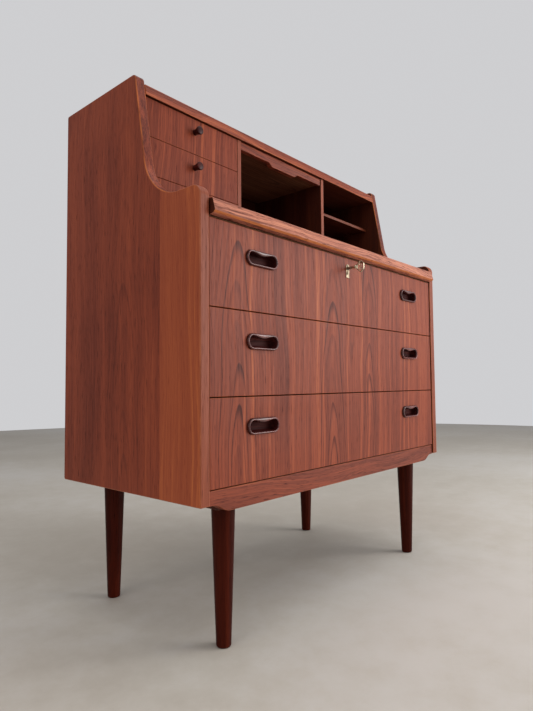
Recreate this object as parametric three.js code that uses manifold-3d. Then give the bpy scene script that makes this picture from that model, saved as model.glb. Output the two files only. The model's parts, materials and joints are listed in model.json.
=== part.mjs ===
// A teak secretary desk: a case on four turned legs with three wide drawers, a writing leaf that slides
// out under a stepped-back upper unit, and in that unit three small drawers, an open compartment with a
// shallow tray drawer over it, and an open compartment with a shelf.
// Units are millimetres. +Z is up, the front faces -Y, +X is to the right of someone facing the desk.
// Every piece is worked out with Y = 0 at the front edge of the sides; the last step moves the whole
// desk so that the origin is on the floor, at the centre of the overall box.
import * as THREE from "three";
import { mergeVertices } from "three/addons/utils/BufferGeometryUtils.js";
import Module from "manifold-3d";

const wasm = await Module();
wasm.setup();

// ---------------------------------------------------------------- driving dimensions
// Overall
const deskWidth = 922;
const deskDepth = 450;
const deskHeight = 1090;
const caseBottom = 272; // floor to the lower edge of the sides

// Clearances
const glueGap = 0.3; // between two pieces that are glued or screwed together
const frontGap = 2; // round each wide drawer front
const smallFrontGap = 1.2; // round each small drawer front
const slidePlay = 1; // between a sliding piece and what guides it
const cutOver = 1; // how far a cutting shape runs past the face it opens

// Sides
const sideThickness = 22;
const ledgeStand = 21; // the low front part of the sides stands this far above the writing leaf
const ledgeCornerRadius = 20;
const ledgeHollowRadius = 100;
const slantTop = 190; // set-back of the slanted edge at the very top
const slantRise = 0.175; // how far the slanted edge leans back per unit of height
const topCornerRadius = 10;
const backCornerRadius = 5;

// Boards of the case
const bottomThickness = 18;
const bottomRaise = 2; // underside of the bottom board above the lower edge of the sides
const dustThickness = 11;
const dustSetback = 5;
const leafThickness = 18;
const deckThickness = 15;
const deckOverhang = 2; // deck in front of the upper unit
const topThickness = 22;
const topDrop = 13; // top board below the top of the sides
const backThickness = 6;
const backInset = 4; // back panel in front of the back edge of the sides
const backRebate = 8; // how far the back panel is let into each side

// Apron
const apronHeight = 40.5;
const apronRaise = 4.5; // top of the apron above the bottom board
const apronThickness = 22;
const apronSetback = 5;
const apronEndWidth = 9; // straight part at each shallow end
const apronEndHeight = 26;
const apronCurveWidth = 46; // from the shallow end to the full height

// Legs
const legTopDiameter = 45;
const footDiameter = 28;
const footRound = 1.5;
const legInset = 101; // leg centre from the outside of the side
const legInsetFront = 51;
const legInsetBack = 42;
const legRailWidth = 70;
const legRailThickness = 20;
const legRailInset = 14; // back end of the rail in front of the back edge of the sides

// Wide drawers, from the lower edge of the front upwards
const drawerHeight = 156;
const drawerFrontThickness = 20;
const drawerSetback = 3;
const drawerSideThickness = 14;
const drawerSideRaise = 8; // lower edge of the box
const drawerSideDrop = 14; // upper edge of the box below the upper edge of the front
const drawerBottomThickness = 5;
const drawerBottomRaise = 9; // above the lower edge of the box
const drawerBottomLet = 6; // how far the bottom is let into the box
const drawerBackClear = 12; // back of the box to the back panel
const runnerHeight = 16;
const runnerRaise = 82; // middle of the runner
const runnerGroove = 8; // depth of the groove in the drawer side
const runnerEndClear = 6; // back end of the runner to the back panel
const grooveStart = 6; // front end of the groove behind the drawer front

// Cup handles
const handleInset = 138; // centre of the handle from the inner face of the side
const handleRaise = 101; // centre of the handle above the lower edge of the front
const handleWidth = 89;
const handleHeight = 31;
const handleStand = 5.5;
const handleTaper = 2.2; // how much smaller the rim is than the base, all round
const handleNeck = 3; // how much smaller the part in the mortise is than the base, all round
const mortiseDepth = 17;
const cupDepth = 18; // rim to the floor of the cup
const cupWall = 3; // rim to the cup, all round
const lipSag = 5; // how far the upper lip sags in the middle

// Lock in the upper wide drawer
const keyholeDrop = 24; // keyhole centre below the upper edge of the drawer front
const keyholeRadius = 4;
const keyholeSlotWidth = 4;
const keyholeSlotBelow = 15;
const plateHalfWidth = 6.3;
const plateArch = 3; // centre of the arched top above the keyhole centre
const plateWaist = 4.6;
const plateBelow = 22.5;
const plateThickness = 1.2;
const lockWidth = 56;
const lockHeight = 44;
const lockThickness = 10;
const lockDrop = 0.5; // top of the lock below the top of the drawer front
const lockPlate = 2; // walls in front of and behind the bolt
const chamberHalfWidth = 10;
const chamberBelow = 11;
const boltWidth = 14;
const boltHeight = 19;
const strikeDepth = 9; // slot for the bolt in the dust board
const shaftRadius = 2.75;
const shaftInside = 27; // shaft behind the face of the drawer front
const shaftOutside = 27;
const beadRadius = 4.5;
const beadStart = 21;
const bitThickness = 2;
const bitLength = 4;
const bitReach = 8.5;
const bowLength = 20;
const bowHeight = 30;
const bowThickness = 3;
const bowOverlap = 2; // end of the shaft inside the band of the bow
const bowEyeHeight = 9;
const bowEyeWidth = 12;

// Writing leaf
const leafPlay = 1.5; // to the side, each end
const leafBackClear = 10;
const mouldingBack = 3; // back of the moulding behind the front edge of the sides
const mouldingTopFront = 6.5;
const mouldingTopFall = 1;
const mouldingNose = 13;
const mouldingNoseDrop = 24;
const mouldingHeight = 29.5;
const mouldingBevel = 3.4;

// Upper unit
const upperSetback = 190; // front of the partitions and small drawers
const centreWidth = 324;
const partitionThickness = 12;
const shelfRaise = 145; // above the floor of the compartment
const shelfThickness = 8;
const shelfSetback = 21; // behind the front of the partition
const dividerThickness = 6;
const dividerSetback = 2; // behind the back of the small fronts

// Small drawers
const smallFrontThickness = 14;
const smallWall = 8;
const smallBottom = 5;
const smallBoxDrop = 2; // top of the box below the divider over it, on top of the play
const smallBackClear = 10;
const knobLength = 20;
const knobBaseRadius = 6.3;
const knobCapRadius = 9;
const knobRaise = 9; // above the middle of the front
const knobDome = 1;

// Tray drawer
const trayFrontThickness = 12;
const trayFrontSetback = 2; // behind the front of the partitions
const trayPlay = 1.5;
const trayEndHeight = 18;
const trayMiddleHeight = 26.5;
const trayMiddleWidth = 84;
const trayOgeeWidth = 20;
const trayBoxHeight = 14;
const trayWall = 8;
const trayBottom = 3;
const trayRunnerHeight = 5;
const trayRunnerDrop = 4.5; // top of the runner below the top of the tray
const trayRunnerGroove = 4.5;

// ---------------------------------------------------------------- levels and planes
const innerHalf = deskWidth / 2 - sideThickness;
const backPlane = deskDepth - backInset - backThickness; // front face of the back panel
const bottomTop = caseBottom + bottomRaise + bottomThickness;
const apronTop = bottomTop + apronRaise;
const pitch = drawerHeight + frontGap;
const wideDrawers = ["lower", "middle", "upper"];
const dustBottom = apronTop + frontGap + wideDrawers.length * pitch + slidePlay / 2;
const leafBottom = dustBottom + dustThickness + slidePlay;
const leafTop = leafBottom + leafThickness;
const deckBottom = leafTop + slidePlay;
const deckTop = deckBottom + deckThickness;
const ledgeTop = leafTop + ledgeStand;
const topBoardTop = deskHeight - topDrop;
const topBoardBottom = topBoardTop - topThickness;
const partitionInner = centreWidth / 2;
const partitionOuter = partitionInner + partitionThickness;
const frontBack = drawerSetback + drawerFrontThickness;
const keyTip = drawerSetback - shaftOutside + bowOverlap - bowLength;

// ---------------------------------------------------------------- materials
const wood = (color, roughness) => new THREE.MeshStandardMaterial({ color, roughness, metalness: 0 });
const metal = (color, roughness) => new THREE.MeshStandardMaterial({ color, roughness, metalness: 1 });
const teak = wood(0x8a4a2c, 0.42);
const teakEdge = wood(0xa2603a, 0.45);
const rosewood = wood(0x34190f, 0.38);
const legWood = wood(0x5a2a1a, 0.4);
const drawerWood = wood(0xb98d5c, 0.6);
const brass = metal(0xb9a26a, 0.35);
const steel = metal(0x8d8a84, 0.4);

// ---------------------------------------------------------------- helpers
function piece(name, geometry, material) {
  const mesh = new THREE.Mesh(geometry, material);
  mesh.name = name;
  return mesh;
}

// A box between two values along each axis.
function block(x, y, z) {
  const geometry = new THREE.BoxGeometry(x[1] - x[0], y[1] - y[0], z[1] - z[0]);
  return geometry.translate((x[0] + x[1]) / 2, (y[0] + y[1]) / 2, (z[0] + z[1]) / 2);
}

// A plain board, placed by its centre.
function board(name, x, y, z, material) {
  const mesh = piece(name, new THREE.BoxGeometry(x[1] - x[0], y[1] - y[0], z[1] - z[0]), material);
  mesh.position.set((x[0] + x[1]) / 2, (y[0] + y[1]) / 2, (z[0] + z[1]) / 2);
  return mesh;
}

function extrude(outline, depth, curveSegments) {
  return new THREE.ExtrudeGeometry(outline, { depth, bevelEnabled: false, curveSegments });
}

// An outline drawn in Y and Z, given its length along X.
function alongX(outline, x, curveSegments = 10) {
  const turn = new THREE.Matrix4().makeBasis(
    new THREE.Vector3(0, 1, 0),
    new THREE.Vector3(0, 0, 1),
    new THREE.Vector3(1, 0, 0),
  );
  return extrude(outline, x[1] - x[0], curveSegments).applyMatrix4(turn).translate(x[0], 0, 0);
}

// An outline drawn in X and Z, given its thickness along Y.
function alongY(outline, y, curveSegments = 8) {
  return extrude(outline, y[1] - y[0], curveSegments).rotateX(Math.PI / 2).translate(0, y[1], 0);
}

// A profile of [radius, distance] pairs turned about an axis: upwards, or towards the front.
function turned(profile, segments) {
  return new THREE.LatheGeometry(profile.map(([r, d]) => new THREE.Vector2(r, d)), segments);
}
const turnedUp = (profile, segments = 28) => turned(profile, segments).rotateX(Math.PI / 2);
const turnedForward = (profile, segments = 20) => turned(profile, segments).rotateX(Math.PI);

function toSolid(geometry) {
  const bare = geometry.clone();
  bare.deleteAttribute("normal");
  bare.deleteAttribute("uv");
  const merged = mergeVertices(bare, 1e-4);
  const mesh = new wasm.Mesh({
    numProp: 3,
    vertProperties: merged.attributes.position.array,
    triVerts: new Uint32Array(merged.index.array),
  });
  return new wasm.Manifold(mesh);
}

function toGeometry(solid) {
  const mesh = solid.getMesh();
  const geometry = new THREE.BufferGeometry();
  geometry.setAttribute("position", new THREE.BufferAttribute(mesh.vertProperties, 3));
  geometry.setIndex(new THREE.BufferAttribute(mesh.triVerts, 1));
  geometry.computeVertexNormals();
  return geometry;
}

// The first shape with the others cut away from it, or joined to it.
function cut(geometry, ...tools) {
  return toGeometry(tools.reduce((solid, tool) => solid.subtract(toSolid(tool)), toSolid(geometry)));
}
function join(geometry, ...others) {
  return toGeometry(others.reduce((solid, other) => solid.add(toSolid(other)), toSolid(geometry)));
}

const range = (middle, size) => [middle - size / 2, middle + size / 2];
const across = (half) => [-half, half];
const hands = [["left", -1], ["right", 1]];
// A range along X for the right hand, mirrored for the left.
const handed = (x, sign) => (sign > 0 ? x : [-x[1], -x[0]]);

// A slot with round ends, its top sagging in the middle where a sag is given.
function slot(width, height, sag = 0) {
  const r = height / 2;
  const run = width / 2 - r;
  const shape = new THREE.Shape();
  shape.moveTo(-run, -r);
  shape.lineTo(run, -r);
  shape.absarc(run, 0, r, -Math.PI / 2, Math.PI / 2, false);
  if (sag > 0) {
    shape.bezierCurveTo(run / 2, r, run / 2, r - sag, 0, r - sag);
    shape.bezierCurveTo(-run / 2, r - sag, -run / 2, r, -run, r);
  }
  shape.absarc(-run, 0, r, Math.PI / 2, (3 * Math.PI) / 2, false);
  return shape;
}

// ---------------------------------------------------------------- case
// Set-back of the slanted front edge of the upper part at height z.
const slantY = (z) => slantTop - (deskHeight - z) * slantRise;

function sideOutline() {
  const lean = Math.atan2(1, slantRise); // the slanted edge above the horizontal
  const tangent = Math.tan(lean / 2);
  const back = deskDepth - backCornerRadius;
  const shape = new THREE.Shape();
  shape.moveTo(0, caseBottom);
  shape.lineTo(back, caseBottom);
  shape.absarc(back, caseBottom + backCornerRadius, backCornerRadius, -Math.PI / 2, 0, false);
  shape.absarc(back, deskHeight - backCornerRadius, backCornerRadius, 0, Math.PI / 2, false);
  const cornerY = slantY(deskHeight) + topCornerRadius * tangent;
  const cornerZ = deskHeight - topCornerRadius;
  shape.absarc(cornerY, cornerZ, topCornerRadius, Math.PI / 2, Math.PI / 2 + lean, false);
  const hollowY = slantY(ledgeTop) - ledgeHollowRadius * tangent;
  const hollowZ = ledgeTop + ledgeHollowRadius;
  shape.absarc(hollowY, hollowZ, ledgeHollowRadius, lean - Math.PI / 2, -Math.PI / 2, true);
  const nose = ledgeCornerRadius;
  shape.absarc(nose, ledgeTop - nose, nose, Math.PI / 2, Math.PI, false);
  return shape;
}

function sidePanel(name, sign) {
  const panel = alongX(sideOutline(), handed([innerHalf, deskWidth / 2], sign), 14);
  const rebate = block(
    handed([innerHalf - cutOver, innerHalf + backRebate], sign),
    [backPlane - glueGap, deskDepth + cutOver],
    [caseBottom - cutOver, topBoardBottom],
  );
  return piece(name, cut(panel, rebate), teak);
}

function topBoard() {
  const shape = new THREE.Shape();
  shape.moveTo(slantY(topBoardBottom), topBoardBottom);
  shape.lineTo(deskDepth - backInset, topBoardBottom);
  shape.lineTo(deskDepth - backInset, topBoardTop);
  shape.lineTo(slantY(topBoardTop), topBoardTop);
  return piece("top_board", alongX(shape, across(innerHalf - glueGap)), teakEdge);
}

function apron() {
  const end = innerHalf - glueGap;
  const low = apronTop - apronHeight;
  const shallow = apronTop - apronEndHeight;
  const curveStart = end - apronEndWidth;
  const curveEnd = curveStart - apronCurveWidth;
  const middle = (curveStart + curveEnd) / 2;
  const shape = new THREE.Shape();
  shape.moveTo(-curveEnd, low);
  shape.lineTo(curveEnd, low);
  shape.bezierCurveTo(middle, low, middle, shallow, curveStart, shallow);
  shape.lineTo(end, shallow);
  shape.lineTo(end, apronTop);
  shape.lineTo(-end, apronTop);
  shape.lineTo(-end, shallow);
  shape.lineTo(-curveStart, shallow);
  shape.bezierCurveTo(-middle, shallow, -middle, low, -curveEnd, low);
  return piece("apron_rail", alongY(shape, [apronSetback, apronSetback + apronThickness]), teak);
}

function dustBoard() {
  const plate = block(
    across(innerHalf - glueGap),
    [dustSetback, backPlane - glueGap],
    [dustBottom, dustBottom + dustThickness],
  );
  const strike = block(
    across(boltWidth / 2 + slidePlay),
    [frontBack, frontBack + lockThickness],
    [dustBottom - cutOver, dustBottom + strikeDepth],
  );
  return piece("dust_board", cut(plate, strike), drawerWood);
}

function caseBoards() {
  const apronBack = apronSetback + apronThickness;
  const boardX = across(innerHalf - glueGap);
  const panelTop = topBoardBottom - glueGap;
  return [
    ...hands.map(([hand, sign]) => sidePanel("side_panel_" + hand, sign)),
    board("bottom_board", boardX, [apronBack + glueGap, backPlane - glueGap],
      [caseBottom + bottomRaise, bottomTop], teak),
    board("upper_deck", boardX, [upperSetback - deckOverhang, backPlane - glueGap],
      [deckBottom, deckTop], teak),
    board("back_panel", across(innerHalf + backRebate - glueGap), [backPlane, backPlane + backThickness],
      [caseBottom + bottomRaise, panelTop], drawerWood),
    topBoard(),
    apron(),
    dustBoard(),
  ];
}

// ---------------------------------------------------------------- legs
function legs() {
  const railTop = caseBottom + bottomRaise - glueGap;
  const railBottom = railTop - legRailThickness;
  const legTop = railBottom - glueGap;
  const foot = footDiameter / 2;
  const shank = turnedUp([
    [0, 0],
    [foot - footRound, 0],
    [foot, footRound],
    [legTopDiameter / 2, legTop],
    [0, legTop],
  ]);
  const legX = deskWidth / 2 - legInset;
  const railStart = apronSetback + apronThickness + glueGap;
  const made = [];
  for (const [hand, sign] of hands) {
    for (const [end, y] of [["front", legInsetFront], ["rear", deskDepth - legInsetBack]]) {
      const leg = piece("leg_" + end + "_" + hand, shank, legWood);
      leg.position.set(sign * legX, y, 0);
      made.push(leg);
    }
    made.push(board("leg_rail_" + hand, range(sign * legX, legRailWidth),
      [railStart, deskDepth - legRailInset], [railBottom, railTop], drawerWood));
  }
  return made;
}

// ---------------------------------------------------------------- wide drawers
function keyholeOutline(Kind) {
  const half = keyholeSlotWidth / 2;
  const corner = Math.asin(half / keyholeRadius);
  const path = new Kind();
  path.moveTo(half, -keyholeSlotBelow);
  path.lineTo(half, -keyholeRadius);
  path.absarc(0, 0, keyholeRadius, corner - Math.PI / 2, (3 * Math.PI) / 2 - corner, false);
  path.lineTo(-half, -keyholeSlotBelow);
  return path;
}

const handlePlaces = hands.map(([hand, sign]) => [hand, sign * (innerHalf - handleInset)]);
const keyholeZ = drawerHeight - keyholeDrop;

function drawerFront(name, hasLock) {
  const slab = block(across(innerHalf - frontGap), [drawerSetback, frontBack], [0, drawerHeight]);
  const neckWidth = handleWidth - 2 * handleNeck + 2 * glueGap;
  const neckHeight = handleHeight - 2 * handleNeck + 2 * glueGap;
  const mortiseY = [drawerSetback - cutOver, drawerSetback + mortiseDepth];
  const cuts = handlePlaces.map(([, x]) =>
    alongY(slot(neckWidth, neckHeight), mortiseY).translate(x, 0, handleRaise));
  if (hasLock) {
    const through = [drawerSetback - cutOver, frontBack + cutOver];
    cuts.push(alongY(keyholeOutline(THREE.Shape), through).translate(0, 0, keyholeZ));
  }
  return piece(name, cut(slab, ...cuts), teak);
}

// Sides and back in one frame, open to the front, with grooves for the runners and the bottom.
const boxOuter = innerHalf - frontGap;
const boxInner = boxOuter - drawerSideThickness;
const boxZ = [drawerSideRaise, drawerHeight - drawerSideDrop];
const boxBack = backPlane - drawerBackClear;
const bottomZ = [
  drawerSideRaise + drawerBottomRaise,
  drawerSideRaise + drawerBottomRaise + drawerBottomThickness,
];

function drawerBox(name) {
  const start = frontBack + glueGap;
  const backInner = boxBack - drawerSideThickness;
  const outline = new THREE.Shape();
  outline.moveTo(-boxOuter, start);
  outline.lineTo(-boxInner, start);
  outline.lineTo(-boxInner, backInner);
  outline.lineTo(boxInner, backInner);
  outline.lineTo(boxInner, start);
  outline.lineTo(boxOuter, start);
  outline.lineTo(boxOuter, boxBack);
  outline.lineTo(-boxOuter, boxBack);
  const frame = extrude(outline, boxZ[1] - boxZ[0], 1).translate(0, 0, boxZ[0]);
  const runnerCuts = hands.map(([, sign]) =>
    block(
      handed([boxOuter - runnerGroove, boxOuter + cutOver], sign),
      [frontBack + grooveStart, boxBack + cutOver],
      range(runnerRaise, runnerHeight + 2 * slidePlay),
    ));
  const bottomCut = block(
    across(boxInner + drawerBottomLet),
    [frontBack - cutOver, backInner + drawerBottomLet],
    [bottomZ[0] - glueGap, bottomZ[1] + glueGap],
  );
  return piece(name, cut(frame, bottomCut, ...runnerCuts), drawerWood);
}

function drawerBottom(name) {
  const x = across(boxInner + drawerBottomLet - glueGap);
  const y = [frontBack + glueGap, boxBack - drawerSideThickness + drawerBottomLet - glueGap];
  return board(name, x, y, bottomZ, drawerWood);
}

// A cup handle about its own centre, with y = 0 at the face of the drawer front.
function handleGeometry() {
  const base = alongY(slot(handleWidth, handleHeight), [-handleStand, -glueGap]);
  const at = base.attributes.position;
  for (let i = 0; i < at.count; i += 1) {
    if (at.getY(i) > -handleStand / 2) continue;
    at.setX(i, at.getX(i) * (1 - (2 * handleTaper) / handleWidth));
    at.setZ(i, at.getZ(i) * (1 - (2 * handleTaper) / handleHeight));
  }
  const neckWidth = handleWidth - 2 * handleNeck;
  const neckHeight = handleHeight - 2 * handleNeck;
  const neck = alongY(slot(neckWidth, neckHeight), [-glueGap - cutOver, mortiseDepth - glueGap]);
  const cupShrink = 2 * (handleTaper + cupWall);
  const cup = slot(handleWidth - cupShrink, handleHeight - cupShrink, lipSag);
  const hollow = alongY(cup, [-handleStand - cutOver, cupDepth - handleStand]);
  return cut(join(base, neck), hollow);
}

function runners(name, z) {
  const reach = innerHalf - frontGap - runnerGroove + slidePlay;
  return hands.map(([hand, sign]) =>
    board(
      name + "_runner_" + hand,
      handed([reach, innerHalf - glueGap], sign),
      [frontBack + grooveStart + slidePlay, backPlane - runnerEndClear],
      range(z + runnerRaise, runnerHeight),
      drawerWood,
    ));
}

// ---------------------------------------------------------------- lock
const lockY = [frontBack + glueGap, frontBack + glueGap + lockThickness];
const lockTop = drawerHeight - lockDrop;
const boltY = [lockY[0] + lockPlate + slidePlay / 2, lockY[1] - lockPlate - slidePlay / 2];

function keyPlate() {
  const shape = new THREE.Shape();
  shape.moveTo(-plateHalfWidth, -plateBelow);
  shape.lineTo(plateHalfWidth, -plateBelow);
  shape.bezierCurveTo(plateWaist, -plateBelow / 2, plateHalfWidth, -plateBelow / 2,
    plateHalfWidth, plateArch);
  shape.absarc(0, plateArch, plateHalfWidth, 0, Math.PI, false);
  shape.bezierCurveTo(-plateHalfWidth, -plateBelow / 2, -plateWaist, -plateBelow / 2,
    -plateHalfWidth, -plateBelow);
  shape.holes.push(keyholeOutline(THREE.Path));
  const face = drawerSetback - glueGap;
  return piece("key_plate", alongY(shape, [face - plateThickness, face]).translate(0, 0, keyholeZ), brass);
}

function lockCase() {
  const body = block(across(lockWidth / 2), lockY, [lockTop - lockHeight, lockTop]);
  const insideY = [lockY[0] + lockPlate, lockY[1] - lockPlate];
  const channel = block(across(boltWidth / 2 + slidePlay / 2), insideY, [keyholeZ, lockTop + cutOver]);
  const chamber = block(
    across(chamberHalfWidth),
    insideY,
    [keyholeZ - chamberBelow, lockTop - boltHeight],
  );
  const keyhole = alongY(keyholeOutline(THREE.Shape), [lockY[0] - cutOver, insideY[0] + cutOver]);
  return piece("lock_case", cut(body, channel, chamber, keyhole.translate(0, 0, keyholeZ)), steel);
}

function lockBolt() {
  return board("lock_bolt", across(boltWidth / 2), boltY, [lockTop - boltHeight, lockTop], steel);
}

// The key about its own axis, with y = 0 at the face of the drawer front.
function keyGeometry() {
  const shaft = turnedForward([
    [0, -shaftInside],
    [shaftRadius, -shaftInside],
    [shaftRadius, beadStart],
    [beadRadius, beadStart + 1.5],
    [beadRadius, beadStart + 3],
    [shaftRadius, beadStart + 4.5],
    [shaftRadius, shaftOutside],
    [0, shaftOutside],
  ]);
  const bit = block(across(bitThickness / 2), [shaftInside - bitLength, shaftInside], [-bitReach, 0]);
  const bowY = -(shaftOutside - bowOverlap + bowLength / 2);
  const bow = new THREE.Shape();
  bow.absellipse(bowY, 0, bowLength / 2, bowHeight / 2, 0, 2 * Math.PI, false, 0);
  for (const side of [-1, 1]) {
    const eye = new THREE.Path();
    const eyeZ = side * (bowHeight / 4 - 0.5);
    eye.absellipse(bowY, eyeZ, bowEyeWidth / 2, bowEyeHeight / 2, 0, 2 * Math.PI, false, 0);
    bow.holes.push(eye);
  }
  return join(shaft, bit, alongX(bow, across(bowThickness / 2), 14));
}

function lockPieces() {
  const key = piece("key", keyGeometry(), brass);
  key.position.set(0, drawerSetback, keyholeZ);
  return [keyPlate(), lockCase(), lockBolt(), key];
}

function wideDrawer(place, z) {
  const drawer = new THREE.Group();
  const isUpper = place === "upper";
  drawer.position.z = z;
  drawer.add(drawerFront(place + "_drawer_front", isUpper));
  drawer.add(drawerBox(place + "_drawer_box"));
  drawer.add(drawerBottom(place + "_drawer_bottom"));
  for (const [hand, x] of handlePlaces) {
    const handle = piece(place + "_handle_" + hand, handleGeometry(), rosewood);
    handle.position.set(x, drawerSetback, handleRaise);
    drawer.add(handle);
  }
  if (isUpper) drawer.add(...lockPieces());
  return drawer;
}

// ---------------------------------------------------------------- writing leaf
function writingLeaf() {
  const x = across(innerHalf - leafPlay);
  const top = leafTop;
  const low = top - mouldingHeight;
  const shape = new THREE.Shape();
  shape.moveTo(mouldingBack, top);
  shape.lineTo(-mouldingTopFront, top - mouldingTopFall);
  shape.lineTo(-mouldingNose, top - mouldingNoseDrop);
  shape.lineTo(-mouldingNose + mouldingBevel, low + mouldingBevel / 2);
  shape.lineTo(0, low);
  shape.lineTo(mouldingBack, low);
  const y = [mouldingBack + glueGap, backPlane - leafBackClear];
  return [
    board("writing_leaf", x, y, [leafBottom, leafTop], teak),
    piece("leaf_moulding", alongX(shape, x), teakEdge),
  ];
}

// ---------------------------------------------------------------- upper unit
function upperUnit() {
  const y = [upperSetback, backPlane - glueGap];
  const z = [deckTop + glueGap, topBoardBottom - glueGap];
  const partitions = hands.map(([hand, sign]) =>
    board("partition_" + hand, handed([partitionInner, partitionOuter], sign), y, z, teak));
  const shelfZ = deckTop + shelfRaise;
  const shelf = board(
    "pigeonhole_shelf",
    [partitionOuter + glueGap, innerHalf - glueGap],
    [upperSetback + shelfSetback, backPlane - glueGap],
    [shelfZ, shelfZ + shelfThickness],
    teak,
  );
  return [...partitions, shelf];
}

// Three drawers between the left side and the left partition, on two dividers and the deck.
const smallDrawers = ["bottom", "middle", "top"];

function smallDrawerColumn() {
  const count = smallDrawers.length;
  const x = [-innerHalf, -partitionOuter];
  const middleX = (x[0] + x[1]) / 2;
  const frontX = range(middleX, x[1] - x[0] - 2 * smallFrontGap);
  const boxX = range(middleX, x[1] - x[0] - 2 * (smallFrontGap + slidePlay / 2));
  const frontHeight = (topBoardBottom - deckTop - (count + 1) * smallFrontGap) / count;
  const smallBack = upperSetback + smallFrontThickness;
  const made = [];
  smallDrawers.forEach((place, i) => {
    const low = deckTop + smallFrontGap + i * (frontHeight + smallFrontGap);
    const high = low + frontHeight;
    const floor = i === 0 ? deckTop : low - smallFrontGap / 2 + dividerThickness / 2;
    const roof = i === count - 1 ? topBoardBottom : high + smallFrontGap / 2 - dividerThickness / 2;
    const boxZ = [floor + slidePlay, roof - slidePlay - smallBoxDrop];
    const boxY = [smallBack + glueGap, backPlane - smallBackClear];
    const outer = block(boxX, boxY, boxZ);
    const inner = block(
      range(middleX, boxX[1] - boxX[0] - 2 * smallWall),
      [boxY[0] - cutOver, boxY[1] - smallWall],
      [boxZ[0] + smallBottom, boxZ[1] + cutOver],
    );
    const knob = piece("knob_" + place, knobGeometry(), rosewood);
    knob.position.set(middleX, upperSetback, (low + high) / 2 + knobRaise);
    made.push(
      board("small_front_" + place, frontX, [upperSetback, smallBack], [low, high], teak),
      piece("small_box_" + place, cut(outer, inner), drawerWood),
      knob,
    );
    if (i > 0) {
      const dividerY = [smallBack + dividerSetback, backPlane - glueGap];
      made.push(board("divider_" + i, [x[0] + glueGap, x[1] - glueGap], dividerY,
        range(low - smallFrontGap / 2, dividerThickness), drawerWood));
    }
  });
  return made;
}

// A knob about its own axis, with y = 0 at the face of the small front.
function knobGeometry() {
  return turnedForward([
    [0, glueGap],
    [knobBaseRadius, glueGap],
    [knobBaseRadius, knobLength / 4],
    [knobCapRadius, knobLength - 3 * knobDome],
    [knobCapRadius - knobDome / 2, knobLength - knobDome],
    [knobCapRadius / 2, knobLength - knobDome / 4],
    [0, knobLength],
  ]);
}

// ---------------------------------------------------------------- tray drawer
// It hangs on two runners under the top board, between the partitions.
function trayDrawer() {
  const half = partitionInner - trayPlay;
  const top = topBoardBottom - smallFrontGap;
  const ends = top - trayEndHeight;
  const belly = top - trayMiddleHeight;
  const bellyHalf = trayMiddleWidth / 2;
  const bend = bellyHalf + trayOgeeWidth / 2;
  const flat = bellyHalf + trayOgeeWidth;
  const shape = new THREE.Shape();
  shape.moveTo(-half, ends);
  shape.lineTo(-flat, ends);
  shape.bezierCurveTo(-bend, ends, -bend, belly, -bellyHalf, belly);
  shape.lineTo(bellyHalf, belly);
  shape.bezierCurveTo(bend, belly, bend, ends, flat, ends);
  shape.lineTo(half, ends);
  shape.lineTo(half, top);
  shape.lineTo(-half, top);
  const frontY = [upperSetback + trayFrontSetback, upperSetback + trayFrontSetback + trayFrontThickness];

  const boxTop = top - slidePlay;
  const boxLow = boxTop - trayBoxHeight;
  const boxY = [frontY[1] + glueGap, backPlane - smallBackClear];
  const runnerZ = [boxTop - trayRunnerDrop - trayRunnerHeight, boxTop - trayRunnerDrop];
  const grooveY = [frontY[1] + grooveStart, boxY[1] + cutOver];
  const outer = block(across(half), boxY, [boxLow, boxTop]);
  const inner = block(
    across(half - trayWall),
    [boxY[0] - cutOver, boxY[1] - trayWall],
    [boxLow + trayBottom, boxTop + cutOver],
  );
  const grooves = hands.map(([, sign]) =>
    block(
      handed([half - trayRunnerGroove, half + cutOver], sign),
      grooveY,
      [runnerZ[0] - slidePlay / 2, runnerZ[1] + slidePlay / 2],
    ));
  const reach = half - trayRunnerGroove + slidePlay;
  const trayRunners = hands.map(([hand, sign]) =>
    board("tray_runner_" + hand, handed([reach, partitionInner - glueGap], sign),
      [grooveY[0] + slidePlay, backPlane - runnerEndClear], runnerZ, drawerWood));
  return [
    piece("tray_front", alongY(shape, frontY, 10), teak),
    piece("tray_box", cut(outer, inner, ...grooves), drawerWood),
    ...trayRunners,
  ];
}

// ---------------------------------------------------------------- assembly
const desk = new THREE.Group();
desk.add(...caseBoards(), ...legs(), ...writingLeaf());
desk.add(...upperUnit(), ...smallDrawerColumn(), ...trayDrawer());
wideDrawers.forEach((place, i) => {
  const z = apronTop + frontGap + i * pitch;
  desk.add(wideDrawer(place, z), ...runners(place, z));
});
desk.position.y = -(deskDepth + keyTip) / 2;

export default new THREE.Group().add(desk);
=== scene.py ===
# %% [markdown]
# # A teak secretary desk
# The desk is a case of teak veneer on four turned legs. It holds three wide drawers with cup handles, a
# writing leaf that slides out behind a moulding, and a stepped-back upper unit with small drawers, a
# shaped tray and two open compartments. The CAD model already says where every piece is and how it
# moves. This script gives each piece its fine shape, its grain and its finish.

# %% Load the frame
import json
import math

import bmesh
import bpy
from mathutils import Matrix, Vector


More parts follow.
